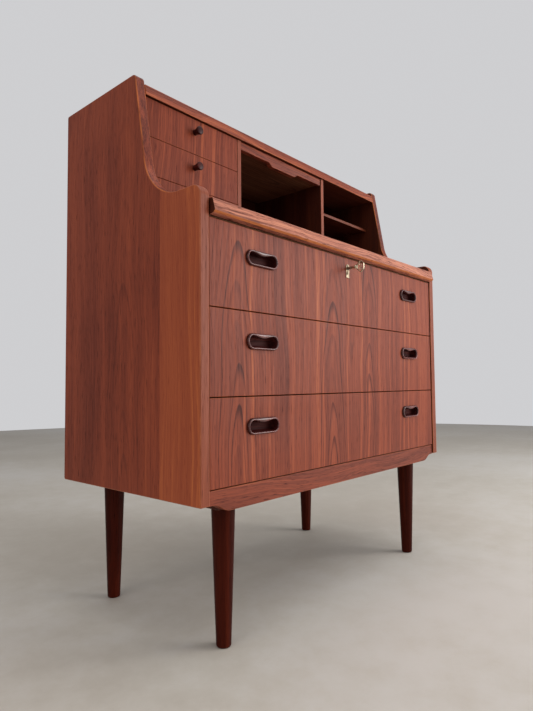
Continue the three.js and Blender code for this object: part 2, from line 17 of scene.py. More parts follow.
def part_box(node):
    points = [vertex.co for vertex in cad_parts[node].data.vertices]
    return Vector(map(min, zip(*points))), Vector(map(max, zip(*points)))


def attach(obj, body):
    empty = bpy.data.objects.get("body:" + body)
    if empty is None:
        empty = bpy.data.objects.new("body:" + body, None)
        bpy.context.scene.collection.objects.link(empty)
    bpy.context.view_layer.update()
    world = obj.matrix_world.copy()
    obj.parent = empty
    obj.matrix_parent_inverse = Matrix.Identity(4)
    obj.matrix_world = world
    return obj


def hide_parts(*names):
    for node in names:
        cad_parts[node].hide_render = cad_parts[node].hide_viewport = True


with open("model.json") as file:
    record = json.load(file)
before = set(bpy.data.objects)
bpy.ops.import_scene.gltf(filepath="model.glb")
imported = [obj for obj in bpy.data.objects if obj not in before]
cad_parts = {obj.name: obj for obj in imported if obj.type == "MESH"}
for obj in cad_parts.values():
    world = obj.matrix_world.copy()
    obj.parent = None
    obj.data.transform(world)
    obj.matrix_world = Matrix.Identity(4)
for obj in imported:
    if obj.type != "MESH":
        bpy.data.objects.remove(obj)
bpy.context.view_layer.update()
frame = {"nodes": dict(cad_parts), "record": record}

# %% [markdown]
# Each CAD node belongs to one moving body. A piece that stands for a node rides on the same body, so
# the record's own list is turned round once, from body and nodes to node and body.

# %% Which body each node is on
body_of = {
    node: body
    for body, nodes in frame["record"]["behaviour"]["bodies"].items()
    for node in nodes
}
MM = 0.001
HANDS = (("left", -1), ("right", 1))
WIDE_DRAWERS = ("lower", "middle", "upper")
SMALL_DRAWERS = ("bottom", "middle", "top")
front_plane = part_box("side_panel_left")[0].y
print(len(body_of), "nodes; the sides start at y =", round(front_plane, 4))


# %% [markdown]
# ## Building materials in code
# A node tree gets long when every node is made by hand. Three small helpers keep it readable: one adds
# a node and fills its sockets, one adds a Math node, and one starts a group with named sockets. A
# socket that is given another socket is linked, and one that is given a number just keeps it.

# %% Node helpers
def add_node(tree, kind, values=None, **settings):
    node = tree.nodes.new(kind)
    for name, value in settings.items():
        setattr(node, name, value)
    for name, value in (values or {}).items():
        if isinstance(value, bpy.types.NodeSocket):
            tree.links.new(value, node.inputs[name])
        else:
            node.inputs[name].default_value = value
    return node


def calc(tree, operation, *values, clamp=False):
    node = add_node(tree, "ShaderNodeMath", dict(enumerate(values)), operation=operation)
    node.use_clamp = clamp
    return node.outputs[0]


def spread(tree, value, low, high, to_low=0.0, to_high=1.0):
    """Stretches the range low to high over to_low to to_high, with soft ends."""
    sockets = {0: value, 1: low, 2: high, 3: to_low, 4: to_high}
    return add_node(tree, "ShaderNodeMapRange", sockets, interpolation_type="SMOOTHSTEP").outputs[0]


def noise(tree, vector, scale=1.0, detail=2.0, roughness=0.5):
    sockets = {"Vector": vector, "Scale": scale, "Detail": detail, "Roughness": roughness}
    return add_node(tree, "ShaderNodeTexNoise", sockets).outputs[0]


def stretch(tree, vector, across, along, shift=0.0):
    """Scales a pattern across the grain and along it, and moves it so that two layers differ."""
    sockets = {"Vector": vector, "Scale": (across, across, along), "Location": (shift, shift, shift)}
    return add_node(tree, "ShaderNodeMapping", sockets).outputs[0]


def start_group(name, inputs, outputs):
    tree = bpy.data.node_groups.new(name, "ShaderNodeTree")
    kinds = {float: "NodeSocketFloat", tuple: "NodeSocketVector"}
    for label, value in inputs.items():
        socket = tree.interface.new_socket(name=label, in_out="INPUT", socket_type=kinds[type(value)])
        socket.default_value = value
    for label in outputs:
        tree.interface.new_socket(name=label, in_out="OUTPUT", socket_type="NodeSocketFloat")
    return tree, tree.nodes.new("NodeGroupInput").outputs, tree.nodes.new("NodeGroupOutput").inputs


print("node helpers ready")


# %% [markdown]
# ## What the figure of teak is made of
# Sawn wood is a cut through a stack of cones, the growth rings. Where the cut runs nearly parallel to
# the trunk, it meets each ring at a slope and draws the tall arches that furniture makers call
# cathedrals. The group below works that out. The distance from the heart of the log, divided by the
# width of a ring, has a fraction that runs from early wood to the thin dark line of late wood.
# A sheet of veneer this wide shows three hearts side by side, and a point belongs to the nearest.
# The group reads a vector whose X is across the grain and whose Z runs along it.

# %% Growth rings round three heart lines
HEARTS = ("Heart 1", "Heart 2", "Heart 3")
HEART_DIPS = (0.0, -0.08, 0.06)  # metres from the start to where the arches of each heart close
HEART_BLEND = 0.04  # metres over which two hearts flow together
TREMBLE = 0.012  # metres that a ring line shakes to the side
LATE_WOOD = (0.55, 0.92)  # the part of a ring over which it darkens
CROWDED = (0.04, 0.15)  # metres from the heart over which the lines fade
FADED = 0.3  # what is left of a line far from the heart
WEAK_LINE = 0.08  # the strength of the faintest line near a heart
HEART_REACH = 0.07  # metres over which the heart's own colour fades


def sway_of(tree, at, amount):
    """How far the grain wanders sideways here, the same for the rings and for the fibres."""
    slow = noise(tree, stretch(tree, at, 3.0, 2.0), detail=2.0)
    return calc(tree, "MULTIPLY", calc(tree, "SUBTRACT", slow, 0.5), amount)


def growth_rings():
    inputs = {
        "Vector": (0.0, 0.0, 0.0), "Heart 1": -0.37, "Heart 2": -0.073, "Heart 3": 0.089,
        "Start": 0.22, "Taper": 0.1, "Ring Width": 0.0075, "Wander": 0.07, "Seed": 0.0,
    }
    tree, value, result = start_group("Growth Rings", inputs, ["Line", "Tone", "Heart"])
    point = add_node(tree, "ShaderNodeSeparateXYZ", {0: value["Vector"]}).outputs
    seed = add_node(tree, "ShaderNodeCombineXYZ", {0: value["Seed"]}).outputs[0]
    at = add_node(tree, "ShaderNodeVectorMath", {0: value["Vector"], 1: seed}).outputs[0]
    quick = noise(tree, stretch(tree, at, 16.0, 5.0, 3.0), detail=2.0)
    sway = sway_of(tree, at, value["Wander"])
    tremble = calc(tree, "MULTIPLY", calc(tree, "SUBTRACT", quick, 0.5), TREMBLE)
    across = calc(tree, "ADD", calc(tree, "ADD", point["X"], sway), tremble)
    nearest = None
    for label, dip in zip(HEARTS, HEART_DIPS):
        aside = calc(tree, "SUBTRACT", across, value[label])
        # Each heart line dips under the cut at its own height, which is where its arches close.
        climb = calc(tree, "SUBTRACT", point["Z"], value["Start"])
        height = calc(tree, "SUBTRACT", climb, dip)
        depth = calc(tree, "MULTIPLY", height, value["Taper"])
        square = calc(tree, "ADD", calc(tree, "POWER", aside, 2.0), calc(tree, "POWER", depth, 2.0))
        radius = calc(tree, "SQRT", square)
        nearest = radius if nearest is None else calc(tree, "SMOOTH_MIN", nearest, radius, HEART_BLEND)
    age = calc(tree, "DIVIDE", nearest, value["Ring Width"])
    part = calc(tree, "FRACT", age)
    ring = add_node(tree, "ShaderNodeTexWhiteNoise", {"W": calc(tree, "FLOOR", age)}, noise_dimensions="1D")
    chance = ring.outputs["Value"]
    strength = spread(tree, chance, 0.35, 1.0, WEAK_LINE, 1.0)
    # Far from a heart the cut meets the rings squarely, and their lines crowd into a soft stripe.
    strength = calc(tree, "MULTIPLY", strength, spread(tree, nearest, *CROWDED, 1.0, FADED))
    darkening = spread(tree, part, *LATE_WOOD)
    ending = spread(tree, part, LATE_WOOD[1], 1.0, 1.0, 0.0)
    line = calc(tree, "MULTIPLY", darkening, ending)
    tree.links.new(calc(tree, "MULTIPLY", line, strength), result["Line"])
    tree.links.new(chance, result["Tone"])
    tree.links.new(spread(tree, nearest, 0.0, HEART_REACH, 1.0, 0.0), result["Heart"])
    return tree


rings_group = growth_rings()
print("node group", rings_group.name)


# %% [markdown]
# Inside the rings the wood is a bundle of fibres and pores. Fibres are fine noise stretched sixty times
# along the grain. Pores are fine noise too, cut off so that only short dark dashes stay. Broad bands
# of colour and a few light stripes come from slow noise that hardly changes along the grain. Each
# pattern has a scale across the grain, a scale along it and, where two would look alike, a shift.

# %% Fibres, pores, bands and stripes
FINE_FIBRE = (900.0, 14.0)
COARSE_FIBRE = (260.0, 4.0)
PORE = (800.0, 36.0)
BAND = (30.0, 0.7, 2.0)
STRIPE = (75.0, 0.6, 7.0)
CLOUD = (6.0, 2.2, 5.0)


def wood_fibres():
    outputs = ["Fibre", "Pores", "Bands", "Stripes", "Cloud"]
    inputs = {"Vector": (0.0, 0.0, 0.0), "Seed": 0.0, "Wander": 0.07}
    tree, value, result = start_group("Wood Fibres", inputs, outputs)
    seed = add_node(tree, "ShaderNodeCombineXYZ", {0: value["Seed"]}).outputs[0]
    at = add_node(tree, "ShaderNodeVectorMath", {0: value["Vector"], 1: seed}).outputs[0]
    drift = add_node(tree, "ShaderNodeCombineXYZ", {0: sway_of(tree, at, value["Wander"])}).outputs[0]
    at = add_node(tree, "ShaderNodeVectorMath", {0: at, 1: drift}).outputs[0]
    fine = noise(tree, stretch(tree, at, *FINE_FIBRE), detail=2.0, roughness=0.6)
    coarse = noise(tree, stretch(tree, at, *COARSE_FIBRE), detail=3.0, roughness=0.6)
    fibre = calc(tree, "MULTIPLY", calc(tree, "ADD", fine, coarse), 0.5)
    dash = noise(tree, stretch(tree, at, *PORE), detail=1.0)
    band = noise(tree, stretch(tree, at, *BAND), detail=3.0)
    stripe = noise(tree, stretch(tree, at, *STRIPE), detail=1.0)
    cloud = noise(tree, stretch(tree, at, *CLOUD), detail=2.0)
    made = {
        "Fibre": spread(tree, fibre, 0.32, 0.68),
        "Pores": spread(tree, dash, 0.6, 0.74),
        "Bands": spread(tree, band, 0.3, 0.7),
        "Stripes": spread(tree, stripe, 0.56, 0.7),
        "Cloud": spread(tree, cloud, 0.3, 0.7),
    }
    for label, socket in made.items():
        tree.links.new(socket, result[label])
    return tree


fibres_group = wood_fibres()
print("node group", fibres_group.name)


# %% [markdown]
# Hands and cloths rub the oil off the corners of a piece of furniture. The pieces below carry a value
# called edge on their rounded corners, and this group breaks it up with noise, so that the corners
# turn lighter in some places only.

# %% Worn corners
WEAR_SCALE = 22.0  # patches per metre
LEAST_WEAR = 0.3


def worn_corners():
    inputs = {"Vector": (0.0, 0.0, 0.0), "Edge": 0.0, "Amount": 0.5}
    tree, value, result = start_group("Worn Corners", inputs, ["Mask"])
    rubbed = noise(tree, stretch(tree, value["Vector"], WEAR_SCALE, WEAR_SCALE))
    patchy = spread(tree, rubbed, 0.35, 0.7, LEAST_WEAR, 1.0)
    mask = calc(tree, "MULTIPLY", calc(tree, "MULTIPLY", value["Edge"], patchy), value["Amount"])
    tree.links.new(mask, result["Mask"])
    return tree


wear_group = worn_corners()
print("node groups", [group.name for group in bpy.data.node_groups])


# %% [markdown]
# ## One recipe for every wood
# All the woods of the desk are the same recipe with other numbers: which way the grain runs, five
# colours from the late wood to the palest stripe, and how much each feature counts. A colour ramp
# turns one tone value into colour. The tone drops in the ring lines and pores and rises in the
# stripes. A Mapping node turns the pattern, so one recipe serves boards that lie and boards that stand.

# %% The wood recipe
QUARTER = math.radians(90)
GRAIN_TURN = {
    "up_on_front": (0.0, 0.0, 0.0),
    "up_on_side": (0.0, 0.0, QUARTER),
    "level_on_front": (0.0, QUARTER, 0.0),
    "level_on_top": (-QUARTER, QUARTER, 0.0),
    "inward": (QUARTER, 0.0, 0.0),
}
FEATURES = {"Line": 0.3, "Tone": 0.05, "Heart": 0.0, "Bands": 0.2, "Stripes": 0.2, "Fibre": 0.2,
            "Cloud": 0.12, "Pores": 0.25}
DARKENS = ("Line", "Pores", "Heart")
WORN_LIGHTER = 1.3  # a rubbed corner against the palest colour of its wood
FIBRE_HEIGHT = 0.35  # how high a fibre stands against the depth of a pore
GRAIN_DEPTH = 0.0004  # metres


def new_material(name):
    material = bpy.data.materials.new(name)
    material.use_nodes = True
    tree = material.node_tree
    tree.nodes.clear()
    shader = add_node(tree, "ShaderNodeBsdfPrincipled")
    output = add_node(tree, "ShaderNodeOutputMaterial")
    tree.links.new(shader.outputs[0], output.inputs["Surface"])
    return material, tree, shader


def colour_ramp(tree, tone, colours):
    ramp = add_node(tree, "ShaderNodeValToRGB", {"Fac": tone})
    stops = ramp.color_ramp.elements
    stops[0].color, stops[1].color = (*colours[0], 1), (*colours[-1], 1)
    for i, colour in enumerate(colours[1:-1], start=1):
        stops.new(i / (len(colours) - 1)).color = (*colour, 1)
    return ramp.outputs["Color"]


def wood(name, grain, colours, seed=0.0, rough=0.42, relief=0.1, wear=0.3, rings=None, middle=0.5,
         shine=0.16, **weights):
    material, tree, shader = new_material(name)
    place = add_node(tree, "ShaderNodeTexCoord").outputs["Object"]
    turn = {"Vector": place, "Rotation": GRAIN_TURN[grain]}
    turned = add_node(tree, "ShaderNodeMapping", turn).outputs[0]
    figure = add_node(tree, "ShaderNodeGroup", node_tree=rings_group)
    grainy = add_node(tree, "ShaderNodeGroup", node_tree=fibres_group)
    for group in (figure, grainy):
        tree.links.new(turned, group.inputs["Vector"])
        group.inputs["Seed"].default_value = seed
    for label, value in (rings or {}).items():
        figure.inputs[label].default_value = value
    tone = middle
    for label, usual in FEATURES.items():
        source = figure if label in figure.outputs else grainy
        weight = weights.get(label.lower(), usual)
        if weight == 0:
            continue
        start, sign = (0.0, -1) if label in DARKENS else (0.5, 1)
        centred = calc(tree, "SUBTRACT", source.outputs[label], start)
        tone = calc(tree, "ADD", calc(tree, "MULTIPLY", centred, sign * weight), tone)
    colour = colour_ramp(tree, tone, colours)
    edge = add_node(tree, "ShaderNodeAttribute", attribute_name="edge").outputs["Fac"]
    worn = add_node(tree, "ShaderNodeGroup", node_tree=wear_group)
    tree.links.new(turned, worn.inputs["Vector"])
    tree.links.new(edge, worn.inputs["Edge"])
    worn.inputs["Amount"].default_value = wear
    mix = add_node(tree, "ShaderNodeMix", {0: worn.outputs["Mask"]}, data_type="RGBA")
    tree.links.new(colour, mix.inputs[6])
    mix.inputs[7].default_value = (*[min(1.0, v * WORN_LIGHTER) for v in colours[-1]], 1)
    tree.links.new(mix.outputs[2], shader.inputs["Base Color"])
    gloss = spread(tree, grainy.outputs["Fibre"], 0.0, 1.0, rough + 0.06, rough - 0.05)
    dull = calc(tree, "ADD", gloss, calc(tree, "MULTIPLY", grainy.outputs["Pores"], 0.2), clamp=True)
    tree.links.new(dull, shader.inputs["Roughness"])
    height = calc(tree, "MULTIPLY", grainy.outputs["Fibre"], FIBRE_HEIGHT)
    height = calc(tree, "SUBTRACT", height, grainy.outputs["Pores"])
    bump_values = {"Height": height, "Strength": relief, "Distance": GRAIN_DEPTH}
    bump = add_node(tree, "ShaderNodeBump", bump_values)
    tree.links.new(bump.outputs[0], shader.inputs["Normal"])
    shader.inputs["Specular IOR Level"].default_value = shine
    return material


print("features of a wood", list(FEATURES))


# %% [markdown]
# ## The woods of this desk
# Teak goes from late wood, a dark brown, to an orange stripe. The drawer fronts show cathedral
# veneer, the sides show straighter wood, and the solid edges and the moulding are paler and more open
# in the pores. The rings far from any heart run straight, so the plain boards just move their hearts
# away. Wood inside the case, under the top and under the case gets teak at a quarter of its brightness,
# and the shelf edge teak at half: both are painted shade. The end grain at the ends of the moulding is
# darker by itself and gets the quarter-bright teak, so it holds painted shade as well. The leaning front
# edges of the sides get a darker tone, which is painted shade, and the lower bevel of the moulding a
# bright orange, which is a painted highlight.

# %% Teak in its several cuts
TEAK = ((0.070, 0.015, 0.010), (0.19, 0.041, 0.023), (0.31, 0.070, 0.034), (0.43, 0.110, 0.045),
        (0.72, 0.235, 0.070))


def tinted(colours, tint):
    """The same row of colours, each multiplied by a tint."""
    return tuple(tuple(v * t for v, t in zip(colour, tint)) for colour in colours)


# Teak at a quarter of its brightness is painted shade for the wood inside, under and below the case.
PAINTED_DEEP_SHADE_TEAK = tinted(TEAK, (0.25, 0.25, 0.25))
# Teak at half its brightness is painted shade for the front edge of the shelf in its compartment.
PAINTED_HALF_SHADE_TEAK = tinted(TEAK, (0.5, 0.5, 0.5))
SIDE_TEAK = tinted(TEAK, (0.97, 0.88, 0.82))
SOLID_TEAK = ((0.08, 0.018, 0.010), (0.21, 0.050, 0.025), (0.32, 0.083, 0.042), (0.42, 0.120, 0.058),
              (0.60, 0.205, 0.085))
NOSING_TEAK = ((0.06, 0.017, 0.012), (0.23, 0.072, 0.047), (0.49, 0.178, 0.116), (0.64, 0.250, 0.158),
               (0.76, 0.34, 0.20))
# A bright orange for the lower bevel of the moulding: a painted highlight of the light it catches from
# below.
LIT_BEVEL_TEAK = ((0.20, 0.045, 0.014), (0.38, 0.10, 0.030), (0.56, 0.17, 0.050), (0.70, 0.25, 0.075),
           (0.80, 0.34, 0.11))
FAR_HEARTS = {"Heart 1": 0.9, "Heart 2": 0.95, "Heart 3": 1.0, "Taper": 0.03, "Ring Width": 0.004}
SIDE_RINGS = {"Heart 1": -0.02, "Heart 2": 0.14, "Heart 3": 0.6, "Start": 0.1, "Taper": 0.09}
front_teak = wood("teak_front", "up_on_front", TEAK, line=0.4, bands=0.2, stripes=0.24, cloud=0.16,
                  tone=0.1, pores=0.28, fibre=0.2, shine=0.12)
small_teak = wood("teak_small_front", "up_on_front", TEAK, seed=3.0, rings=FAR_HEARTS, line=0.4, bands=0.1,
                  stripes=0.28, cloud=0.0, fibre=0.3, middle=0.48, shine=0.09)
side_teak = wood("teak_side", "up_on_side", SIDE_TEAK, seed=7.0, rings=SIDE_RINGS, line=0.14, bands=0.12,
                 stripes=0.08, cloud=0.2, wear=0.2, pores=0.35, middle=0.42)
strip_teak = wood("teak_side_strip", "up_on_side", SIDE_TEAK, seed=11.0, rings=FAR_HEARTS, line=0.12,
                  bands=0.1, stripes=0.1, pores=0.2, middle=0.68)
edge_teak = wood("teak_edge", "up_on_front", SOLID_TEAK, seed=5.0, rings=FAR_HEARTS, line=0.2, bands=0.2,
                 pores=0.3, wear=0.35)
moulding_teak = wood("teak_moulding", "level_on_front", NOSING_TEAK, seed=9.0, rings=FAR_HEARTS, line=0.4,
                     bands=0.3, fibre=0.7, pores=0.6, relief=0.3, wear=0.4, middle=0.56)
# Bright orange teak that paints the highlight on the moulding's lower bevel.
lit_bevel_teak = wood("teak_lower_bevel_painted_highlight", "level_on_front", LIT_BEVEL_TEAK, seed=8.0, rings=FAR_HEARTS, line=0.35,
                    pores=0.5)
# End grain is darker by itself; its quarter brightness here also holds painted shade.
shaded_end_teak = wood("teak_end_grain_painted_shade", "inward", PAINTED_DEEP_SHADE_TEAK, seed=10.0, pores=0.4)
level_teak = wood("teak_level", "level_on_front", TEAK, seed=13.0, rings=FAR_HEARTS, line=0.35, bands=0.3,
                  pores=0.4, fibre=0.4, middle=0.44)
apron_teak = wood("teak_apron", "level_on_front", TEAK, seed=18.0, rings=FAR_HEARTS, line=0.15, bands=0.12,
                  stripes=0.12, pores=0.4, fibre=0.35, middle=0.38)
# Painted shade: the boards deep inside and under the case get quarter-bright teak.
shaded_board_teak = wood("teak_board_painted_shade", "level_on_top", PAINTED_DEEP_SHADE_TEAK, seed=15.0, rings=FAR_HEARTS, line=0.15)
# Half-bright teak, painted shade, for the shelf's front edge.
shaded_shelf_teak = wood("teak_shelf_edge_painted_shade", "level_on_front", PAINTED_HALF_SHADE_TEAK, seed=14.0, rings=FAR_HEARTS)
# The leaning part of the sides' front edge is darker teak: painted shade.
shaded_slant_teak = wood("teak_slant_edge_painted_shade", "up_on_front", SIDE_TEAK, seed=6.0, rings=FAR_HEARTS, line=0.3,
                  fibre=0.4, wear=0.5, middle=0.34)
leaf_teak = wood("teak_leaf", "level_on_top", TEAK, seed=16.0, line=0.25)
# Painted shade as well, for the inner walls and the inside faces.
shaded_wall_teak = wood("teak_wall_painted_shade", "up_on_side", PAINTED_DEEP_SHADE_TEAK, seed=17.0, rings=FAR_HEARTS, line=0.15)
shaded_inner_teak = wood("teak_inside_painted_shade", "up_on_front", PAINTED_DEEP_SHADE_TEAK, seed=19.0, rings=FAR_HEARTS, line=0.15)
print("teak ready, from", front_teak.name, "to", shaded_inner_teak.name)

# %% [markdown]
# The handles, knobs and legs are darker woods. The drawer boxes and the back are pale, dry wood that
# was never oiled, and the tray is a browner plywood.

# %% Rosewood, leg wood and plain drawer wood
ROSEWOOD = ((0.012, 0.002, 0.002), (0.028, 0.0045, 0.0045), (0.054, 0.009, 0.008), (0.092, 0.017, 0.014),
            (0.16, 0.036, 0.030))
LEG_WOOD = ((0.018, 0.002, 0.0012), (0.038, 0.005, 0.0025), (0.066, 0.009, 0.004), (0.095, 0.015, 0.006),
            (0.14, 0.025, 0.010))
DRAWER_WOOD = ((0.22, 0.115, 0.055), (0.34, 0.19, 0.095), (0.45, 0.27, 0.145), (0.54, 0.34, 0.19),
               (0.62, 0.41, 0.25))
BACK_RINGS = {"Heart 1": -0.3, "Heart 2": 0.02, "Heart 3": 0.31, "Start": 0.2, "Ring Width": 0.011}
TRAY_WOOD = ((0.07, 0.028, 0.015), (0.13, 0.054, 0.028), (0.20, 0.088, 0.046), (0.27, 0.125, 0.068),
             (0.35, 0.17, 0.10))
rosewood = wood("rosewood", "level_on_front", ROSEWOOD, seed=21.0, rough=0.24, rings=FAR_HEARTS,
                line=0.3, bands=0.3, fibre=0.4, wear=0.8, shine=0.6)
hollow_wood = wood("rosewood_hollow", "level_on_front", ROSEWOOD, seed=22.0, rough=0.55,
                   rings=FAR_HEARTS, fibre=0.4, middle=0.58, wear=0.0, shine=0.06)
knob_wood = wood("rosewood_knob", "inward", ROSEWOOD, seed=23.0, rough=0.36, rings=FAR_HEARTS)
leg_wood = wood("leg_wood", "up_on_front", LEG_WOOD, seed=25.0, rough=0.36, rings=FAR_HEARTS, line=0.25,
                shine=0.05)
drawer_wood = wood("drawer_wood", "inward", DRAWER_WOOD, seed=27.0, rough=0.6, rings=FAR_HEARTS,
                   line=0.2, wear=0.2)
tray_wood = wood("tray_plywood", "level_on_top", TRAY_WOOD, seed=35.0, rough=0.6, line=0.3, cloud=0.4)
plywood = wood("plywood", "level_on_top", DRAWER_WOOD, seed=31.0, rough=0.62, line=0.3, bands=0.2,
               wear=0.1)
back_wood = wood("back_plywood", "up_on_front", DRAWER_WOOD, seed=33.0, rough=0.62, line=0.35, bands=0.2,
                 rings=BACK_RINGS, wear=0.1)
print("darker and paler woods ready, from", rosewood.name, "to", back_wood.name)


# %% [markdown]
# ## Brass and steel
# The key is old brass, its plate is the same brass gone darker, and the lock is plain steel. Metal
# needs no grain, but it does need uneven gloss: fine scratches, and a tarnish that sits in patches.

# %% The metal recipe
TARNISH_SCALE = 160.0
SCRATCH_SCALE = (2500.0, 300.0)
SCRATCH_DULL, TARNISH_DULL = 0.2, 0.12  # how much each adds to the roughness
SCRATCH_DEPTH = 0.0002  # metres


def metal(name, bright, tarnished, rough):
    material, tree, shader = new_material(name)
    place = add_node(tree, "ShaderNodeTexCoord").outputs["Object"]
    spots = noise(tree, stretch(tree, place, TARNISH_SCALE, TARNISH_SCALE), detail=4.0)
    patches = spread(tree, spots, 0.4, 0.7)
    scratches = noise(tree, stretch(tree, place, *SCRATCH_SCALE), detail=2.0)
    tree.links.new(colour_ramp(tree, patches, (bright, tarnished)), shader.inputs["Base Color"])
    gloss = calc(tree, "ADD", calc(tree, "MULTIPLY", scratches, SCRATCH_DULL), rough)
    dull = calc(tree, "ADD", gloss, calc(tree, "MULTIPLY", patches, TARNISH_DULL))
    tree.links.new(dull, shader.inputs["Roughness"])
    bump_values = {"Height": scratches, "Strength": 0.05, "Distance": SCRATCH_DEPTH}
    bump = add_node(tree, "ShaderNodeBump", bump_values)
    tree.links.new(bump.outputs[0], shader.inputs["Normal"])
    shader.inputs["Metallic"].default_value = 1.0
    return material


brass = metal("brass", (0.58, 0.49, 0.35), (0.12, 0.085, 0.05), 0.24)
plate_brass = metal("brass_plate", (0.30, 0.24, 0.165), (0.045, 0.03, 0.018), 0.3)
steel = metal("steel", (0.46, 0.45, 0.43), (0.25, 0.24, 0.23), 0.34)
print("metals", brass.name, plate_brass.name, steel.name)


# %% [markdown]
# ## Tools for shaping pieces
# Every flat piece of the desk starts as an outline with a few corners. The corners are rounded by
# bevelling the corner points, the outline becomes a solid by extrusion, and its sharp edges are
# softened with a second bevel, because no real board has knife edges and the rounded corner is what
# catches the light. The points in the middle of each softened edge get the edge value for the wear.

# %% Outlines, solids and softened edges
def outline_face(bm, points, radii=None, segments=8):
    """A flat face from its corner points, with the corners named in radii rounded."""
    corners = [bm.verts.new(point) for point in points]
    face = bm.faces.new(corners)
    face.normal_update()
    count = len(points)
    for i, radius in (radii or {}).items():
        here = Vector(points[i])
        before, after = Vector(points[i - 1]) - here, Vector(points[(i + 1) % count]) - here
        reach = radius / math.tan(before.angle(after) / 2)
        bmesh.ops.bevel(bm, geom=[corners[i]], offset=reach, offset_type="OFFSET", segments=segments,
                        profile=0.5, affect="VERTICES", material=-1)
    return bm.faces[:][0] if len(bm.faces) == 1 else max(bm.faces, key=lambda f: f.calc_area())


def thicken(bm, face, direction):
    """Extrudes a flat face into a closed solid."""
    grown = bmesh.ops.extrude_face_region(bm, geom=[face], use_keep_orig=True)["geom"]
    moved = [item for item in grown if isinstance(item, bmesh.types.BMVert)]
    bmesh.ops.translate(bm, verts=moved, vec=direction)
    bmesh.ops.recalc_face_normals(bm, faces=bm.faces[:])


def soften(bm, width, segments=2, angle=35.0, only=None):
    """Rounds the sharp edges and marks the middle of each rounding with the edge value."""
    bm.normal_update()
    sharp = [
        edge for edge in bm.edges
        if len(edge.link_faces) == 2 and edge.calc_face_angle() > math.radians(angle)
        and (only is None or only(edge))
    ]
    made = bmesh.ops.bevel(bm, geom=sharp, offset=width, offset_type="OFFSET", segments=segments,
                           profile=0.5, affect="EDGES", material=-1, clamp_overlap=True)
    edge_value = bm.verts.layers.float.get("edge") or bm.verts.layers.float.new("edge")
    rounded = set(made["faces"])
    for vert in bm.verts:
        if vert.link_faces and all(face in rounded for face in vert.link_faces):
            vert[edge_value] = 1.0


print("tools for outlines and edges ready")


# %% [markdown]
# A finished mesh becomes an object that rides on its CAD body and stands for its CAD nodes. Smooth
# shading with weighted normals keeps the big faces flat and lets only the rounded edges turn.

# %% Handing a piece over
MERGE = 0.00001  # metres; corners of CAD triangles closer than this are one corner
FLAT_ANGLE = math.radians(0.6)


def place(name, bm, nodes, slot, *materials, smooth=True):
    if bm.verts.layers.float.get("edge") is None:
        bm.verts.layers.float.new("edge")
    mesh = bpy.data.meshes.new(name)
    for face in bm.faces:
        face.smooth = smooth
    bm.to_mesh(mesh)
    bm.free()
    for material in materials:
        mesh.materials.append(material)
    piece = bpy.data.objects.new(name, mesh)
    bpy.context.scene.collection.objects.link(piece)
    weighted = piece.modifiers.new("flat faces", "WEIGHTED_NORMAL")
    weighted.keep_sharp = True
    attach(piece, body_of[nodes[0]])
    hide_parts(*nodes)
    return piece


def paint(bm, index, where):
    """Gives the material at this place in the list to the faces that the test picks."""
    for face in bm.faces:
        if where(face):
            face.material_index = index


def from_cad(node):
    """A merged copy of a CAD node: its loose triangles become flat faces again."""
    bm = bmesh.new()
    bm.from_mesh(frame["nodes"][node].data)
    bmesh.ops.remove_doubles(bm, verts=bm.verts[:], dist=MERGE)
    bmesh.ops.dissolve_limit(bm, angle_limit=FLAT_ANGLE, verts=bm.verts[:], edges=bm.edges[:])
    for face in bm.faces:
        face.material_index = 0
    return bm


print("tools for pieces ready")


# %% [markdown]
# ## The sides
# Each side is one wide veneered board with a solid teak lipping along its edges. Its outline steps back
# in a round ledge, sweeps up through a wide hollow and leans back to the top. The outline is six
# straight lines with rounded corners between them, so the corner radii do all the drawing. The outer
# face shows two leaves of veneer with an upright joint, which a cut through the mesh marks. The inner
# face and the leaning part of the front edge get darker teak, which is painted shade.

# %% Left and right side
SIDE_SLANT = 0.175  # metres back for each metre up
TOP_SETBACK = 0.19  # the top of the slant, behind the front edge
LEDGE_RISE = 0.021  # the ledge, above the writing leaf
JOINT_BACK = 0.11  # the joint between the two leaves of veneer, behind the front edge
SIDE_ROUNDING = 2.6 * MM
SIDE_CORNERS = {1: 5 * MM, 2: 5 * MM, 3: 10 * MM, 4: 100 * MM, 5: 20 * MM}
side_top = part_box("side_panel_left")[1].z
ledge_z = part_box("writing_leaf")[1].z + LEDGE_RISE


def slant_y(z):
    return front_plane + TOP_SETBACK - (side_top - z) * SIDE_SLANT


def side(hand, sign):
    low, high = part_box("side_panel_" + hand)
    outer = low.x if sign < 0 else high.x
    inner = high.x if sign < 0 else low.x
    bm = bmesh.new()
    points = [
        (outer, low.y, low.z), (outer, high.y, low.z), (outer, high.y, high.z),
        (outer, slant_y(high.z), high.z), (outer, slant_y(ledge_z), ledge_z), (outer, low.y, ledge_z),
    ]
    face = outline_face(bm, points, SIDE_CORNERS, segments=16)
    thicken(bm, face, (inner - outer, 0, 0))
    soften(bm, SIDE_ROUNDING, segments=4)
    joint = low.y + JOINT_BACK
    whole = bm.verts[:] + bm.edges[:] + bm.faces[:]
    bmesh.ops.bisect_plane(bm, geom=whole, plane_co=(0, joint, 0), plane_no=(0, 1, 0))
    paint(bm, 1, lambda f: abs(f.normal.x) < 0.9)
    paint(bm, 2, lambda f: f.material_index == 0 and f.calc_center_median().y < joint)
    # The inner face gets dark teak, painted shade.
    paint(bm, 3, lambda f: f.normal.x * sign < -0.9)
    # The leaning part of the front edge gets darker teak, painted shade.
    paint(bm, 4, lambda f: f.material_index == 1 and f.calc_center_median().z > ledge_z + 6 * MM)
    return place(hand + "_side", bm, ["side_panel_" + hand], "teak", side_teak, edge_teak, strip_teak,
                 shaded_wall_teak, shaded_slant_teak)


